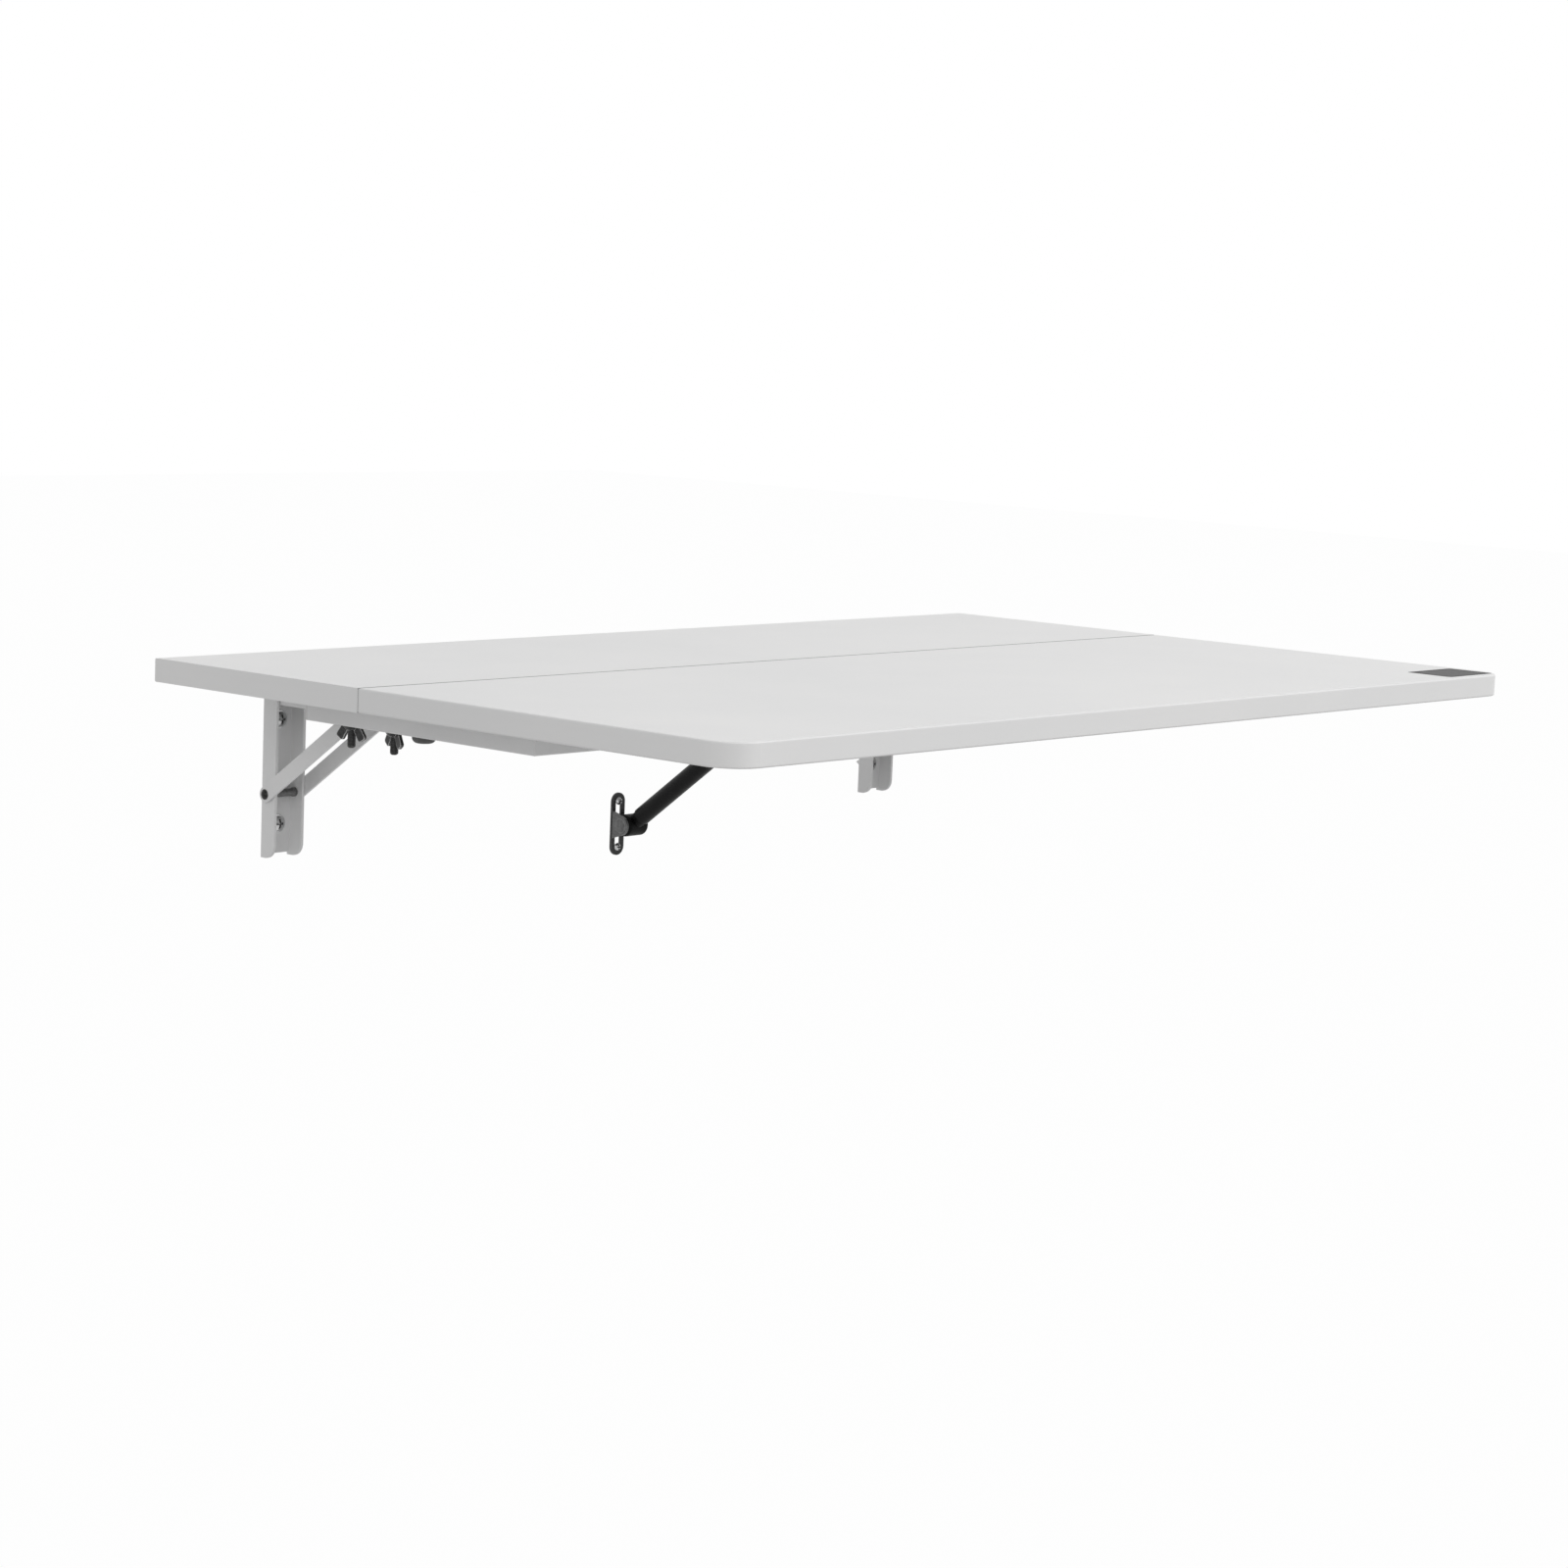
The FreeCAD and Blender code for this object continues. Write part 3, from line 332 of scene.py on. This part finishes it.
def black_plastic():
    """Black moulded nylon with a fine grain."""
    finish = Finish("black_plastic")
    grain = finish.noise(scale=1800.0)
    finish.set(Base_Color=finish.two_tone(finish.noise(scale=90.0), grey(0.002), grey(0.005)),
               Roughness=finish.between(grain, low=0.4, high=0.58), Specular_IOR_Level=0.09)
    finish.bump(grain, strength=0.3, distance=0.05 * MM)
    return finish.material


def black_paint():
    """Satin black paint on a drawn tube, with long scuffs."""
    finish = Finish("black_paint")
    peel = finish.noise(scale=650.0, detail=1.0)
    scuff = finish.noise(scale=120.0, detail=5.0, place=finish.stretched((1, 1, 6)))
    scuffed = finish.between(scuff, 0, 1, start=0.55, end=0.8)
    finish.set(Base_Color=finish.mix(scuffed, grey(0.005), grey(0.014)),
               Roughness=finish.between(peel, low=0.34, high=0.46), Specular_IOR_Level=0.13)
    finish.bump(peel, strength=0.12, distance=0.08 * MM)
    return finish.material


def dark_plate():
    """Dark plate: a smooth dark border round a brushed grey field."""
    finish = Finish("dark_plate")
    low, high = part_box("corner_plate")
    middle = (low + high) / 2
    half = (high - low) / 2
    moved = add(finish.tree, "ShaderNodeVectorMath", {0: finish.place, 1: middle}, operation="SUBTRACT")
    reach = []
    for axis, size in (("X", half.x), ("Y", half.y)):
        away = finish.math("ABSOLUTE", finish.part(axis, moved.outputs["Vector"]))
        reach.append(finish.math("DIVIDE", away, size))
    rim = finish.between(finish.math("MAXIMUM", *reach), 0, 1, start=RIM_START_SHARE, end=RIM_FULL_SHARE)
    brushed = finish.noise(scale=90.0, detail=4.0, place=finish.stretched((2, 40, 1)))
    field = finish.two_tone(brushed, grey(0.055), grey(0.12))
    finish.set(Base_Color=finish.mix(rim, field, grey(0.022)),
               Roughness=finish.between(brushed, low=0.5, high=0.65), Specular_IOR_Level=0.2)
    finish.bump(brushed, strength=0.15, distance=0.05 * MM)
    return finish.material


MAKERS = (white_board, white_steel, white_plastic, grey_rubber, dark_steel, nut_steel, strut_steel,
          bright_steel, black_plastic, black_paint, dark_plate)
FINISHES = {make.__name__: make() for make in MAKERS}


def dress_nodes():
    """Give every carried-over node the finish of its slot."""
    for part in nodes.values():
        for place in part.material_slots:
            slot = "nut_steel" if "wing_nut" in part.name else place.material.name.split(".")[0]
            place.material = FINISHES[slot]


def break_edges(name, width):
    """Small round on the sharp edges of a node, so that they catch the light."""
    part = nodes[name]
    weld = part.modifiers.new("weld", "WELD")
    weld.merge_threshold = WELD_GAP
    flat = part.modifiers.new("flat", "DECIMATE")
    flat.decimate_type = "DISSOLVE"
    flat.angle_limit = FLAT_ANGLE
    bevel = part.modifiers.new("break", "BEVEL")
    bevel.width = width
    bevel.segments = BREAK_STEPS
    bevel.limit_method = "ANGLE"
    bevel.angle_limit = BREAK_ANGLE
    normals = part.modifiers.new("normals", "WEIGHTED_NORMAL")
    normals.keep_sharp = True


def new_mesh(name, points, faces):
    mesh = bpy.data.meshes.new(name)
    mesh.from_pydata(points, [], faces)
    return mesh


def new_object(name, data):
    """New object in the scene."""
    made = bpy.data.objects.new(name, data)
    bpy.context.scene.collection.objects.link(made)
    return made


def new_piece(name, mesh, body, slot):
    """Finished piece that moves with a body and takes a slot's finish."""
    made = bmesh.new()
    made.from_mesh(mesh)
    bmesh.ops.recalc_face_normals(made, faces=made.faces)
    made.to_mesh(mesh)
    made.free()
    for face in mesh.polygons:
        face.use_smooth = True
    piece = new_object(name, mesh)
    mesh.materials.append(FINISHES[slot])
    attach(piece, body)


def across(axis):
    """Two directions square to an axis and to each other."""
    first = axis.orthogonal().normalized()
    return first, axis.cross(first)


def thread_mesh(name, runs, axis, core, crest, pitch, taper=0.0):
    """Helical ridges, one for each run given as a start point and a length. A taper closes on a point."""
    first, second = across(axis)
    half = pitch * THREAD_FOOT_SHARE / 2
    fade_length = pitch * THREAD_FADE_TURNS
    points = []
    faces = []
    for start, length in runs:
        steps = round(length / pitch * THREAD_STEPS)
        base = len(points)
        for step in range(steps + 1):
            along = length * step / steps
            turn = 2 * math.pi * along / pitch
            left = max(length - along, 0)
            fade = max(THREAD_LEAST_SHARE, min(1, along / fade_length, left / fade_length))
            narrow = 1 if left >= taper else TIP_SHARE + (1 - TIP_SHARE) * left / taper
            out = first * math.cos(turn) + second * math.sin(turn)
            foot = core * narrow * THREAD_SINK_SHARE
            ridge = core * narrow + crest * fade
            for radius, shift in ((foot, -half), (ridge, 0), (foot, half)):
                points.append(start + axis * (along + shift) + out * radius)
        for step in range(steps):
            here = base + 3 * step
            for one, two in ((0, 1), (1, 2), (2, 0)):
                faces.append((here + one, here + two, here + 3 + two, here + 3 + one))
        last = base + 3 * steps
        faces.append((base, base + 1, base + 2))
        faces.append((last + 2, last + 1, last))
    return new_mesh(name, points, faces)


def lathe_mesh(name, profile, start, axis):
    """Ring surface turned round an axis from a closed profile of distances along it and radii."""
    first, second = across(axis)
    points = []
    faces = []
    count = len(profile)
    for step in range(LATHE_STEPS):
        turn = 2 * math.pi * step / LATHE_STEPS
        out = first * math.cos(turn) + second * math.sin(turn)
        points += [start + axis * along + out * radius for along, radius in profile]
        after = (step + 1) % LATHE_STEPS
        for index in range(count):
            other = (index + 1) % count
            faces.append((step * count + index, step * count + other,
                          after * count + other, after * count + index))
    return new_mesh(name, points, faces)


def bolt_sleeve(side):
    """Steel spacer sleeve with a collar, on the brace bolt between the flanges of the rail."""
    low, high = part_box(side + "_brace_bolt")
    rail_low, rail_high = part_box(side + "_wall_rail")
    bore = SLEEVE_BORE
    wall = SLEEVE_WALL
    length = rail_high.x - rail_low.x - 2 * RAIL_SHEET
    collar = length - SLEEVE_COLLAR
    profile = [(0, bore), (length, bore), (length, bore + 2 * wall), (collar, bore + 2 * wall),
               (collar - wall, bore + wall), (wall, bore + wall), (wall / 2, bore + wall * SLEEVE_LIP_SHARE)]
    start = Vector((rail_low.x + RAIL_SHEET, (low.y + high.y) / 2, (low.z + high.z) / 2))
    mesh = lathe_mesh(side + "_bolt_sleeve", profile, start, Vector((1, 0, 0)))
    new_piece(side + "_bolt_sleeve", mesh, "wall_mount", "strut_steel")


def stud_threads(side):
    """Machine thread on the studs, below the hubs of the wing nuts."""
    low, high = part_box(side + "_wing_studs")
    nut_low, nut_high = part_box(side + "_rear_wing_nut")
    radius = (high.x - low.x) / 2
    hub_end = nut_high.z - (nut_high.z - nut_low.z) * HUB_SHARE
    length = hub_end - low.z - MACHINE_PITCH
    middle = (low.x + high.x) / 2
    runs = [(Vector((middle, y, hub_end)), length) for y in (high.y - radius, low.y + radius)]
    mesh = thread_mesh(side + "_stud_threads", runs, Vector((0, 0, -1)), radius, MACHINE_CREST, MACHINE_PITCH)
    new_piece(side + "_stud_threads", mesh, "folding_top", "dark_steel")


def wall_screw_threads():
    """Coarse thread on the screws where they stand behind the wall plane."""
    dims = record["mounts"][0]["dims"]
    radius = dims["stud_r_mm"] * MM
    half_x = dims["spacing_x_mm"] * MM / 2
    half_z = dims["spacing_y_mm"] * MM / 2
    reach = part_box("rail_wall_screws")[1].y - WOOD_PITCH
    runs = [(Vector((x, WOOD_PITCH, z)), reach - WOOD_PITCH / 2)
            for x in (-half_x, half_x) for z in (-half_z, half_z)]
    mesh = thread_mesh("rail_screw_threads", runs, Vector((0, 1, 0)), radius, WOOD_CREST, WOOD_PITCH,
                       taper=WOOD_POINT)
    new_piece("rail_screw_threads", mesh, "wall_mount", "bright_steel")


def place_camera():
    data = bpy.data.cameras.new("camera")
    data.sensor_width = SENSOR_WIDTH
    data.lens = FOCAL_SHARE * SENSOR_WIDTH
    data.clip_end = 2 * FLOOR_HALF
    camera = new_object("camera", data)
    level = (CAMERA_AIM - CAMERA_PLACE).to_track_quat("-Z", "Y")
    camera.location = CAMERA_PLACE
    camera.rotation_mode = "QUATERNION"
    camera.rotation_quaternion = level @ Quaternion((0, 0, 1), math.radians(CAMERA_ROLL_DEG))
    bpy.context.scene.camera = camera


def seen_share(tree, share):
    """Share for what camera, glossy and see-through rays meet."""
    path = add(tree, "ShaderNodeLightPath")
    rays = path.outputs["Is Camera Ray"]
    for name in ("Is Glossy Ray", "Is Transmission Ray"):
        rays = add(tree, "ShaderNodeMath", {0: rays, 1: path.outputs[name]}, operation="MAXIMUM").outputs[0]
    return add(tree, "ShaderNodeMath", {0: rays, 1: share}, operation="MULTIPLY").outputs[0]


def lay_floor():
    """Pale floor well below the table, nearly white to the eye, that keeps a soft shadow."""
    height = cad_box[0].z - FLOOR_BELOW
    corners = [(x * FLOOR_HALF, y * FLOOR_HALF, height) for x, y in ((-1, -1), (1, -1), (1, 1), (-1, 1))]
    mesh = new_mesh("floor", corners, [(0, 1, 2, 3)])
    floor = new_object("floor", mesh)
    material = bpy.data.materials.new("floor")
    material.use_nodes = True
    tree = material.node_tree
    shader = tree.nodes["Principled BSDF"]
    shader.inputs["Base Color"].default_value = grey(FLOOR_GREY)
    shader.inputs["Roughness"].default_value = FLOOR_ROUGHNESS
    glow = add(tree, "ShaderNodeEmission", {"Color": grey(1.0), "Strength": 1.0})
    mixed = add(tree, "ShaderNodeMixShader", {0: seen_share(tree, FLOOR_WHITE_SHARE),
                                              1: shader.outputs["BSDF"], 2: glow.outputs["Emission"]})
    tree.links.new(mixed.outputs["Shader"], tree.nodes["Material Output"].inputs["Surface"])
    mesh.materials.append(material)


def light_world():
    world = bpy.data.worlds.new("world")
    bpy.context.scene.world = world
    world.use_nodes = True
    tree = world.node_tree
    soft = tree.nodes["Background"]
    soft.inputs["Color"].default_value = grey(1.0)
    soft.inputs["Strength"].default_value = AMBIENT
    seen = add(tree, "ShaderNodeBackground", {"Color": grey(1.0), "Strength": 1.0})
    mixed = add(tree, "ShaderNodeMixShader", {0: seen_share(tree, 1.0), 1: soft.outputs["Background"],
                                              2: seen.outputs["Background"]})
    tree.links.new(mixed.outputs["Shader"], tree.nodes["World Output"].inputs["Surface"])


def area_lamp(name, place, size, power):
    data = bpy.data.lights.new(name, "AREA")
    data.shape = "DISK"
    data.size = size
    data.energy = power
    lamp = new_object(name, data)
    lamp.location = place
    lamp.rotation_mode = "QUATERNION"
    lamp.rotation_quaternion = ((cad_box[0] + cad_box[1]) / 2 - place).to_track_quat("-Z", "Y")


dress_nodes()
for side in ("left", "right"):
    for name in ("wall_rail", "arm", "outer_brace", "inner_brace"):
        break_edges(side + "_" + name, SHEET_BREAK)
    for name in ("rear_wing_nut", "front_wing_nut"):
        break_edges(side + "_" + name, CAST_BREAK)
    stud_threads(side)
    bolt_sleeve(side)
break_edges("strut_wall_plate", SHEET_BREAK)
break_edges("strut_bracket", SHEET_BREAK)
wall_screw_threads()

place_camera()
lay_floor()
light_world()
area_lamp("key", KEY_PLACE, KEY_SIZE, KEY_POWER)
area_lamp("fill", FILL_PLACE, FILL_SIZE, FILL_POWER)
bpy.context.scene.view_settings.view_transform = "Standard"
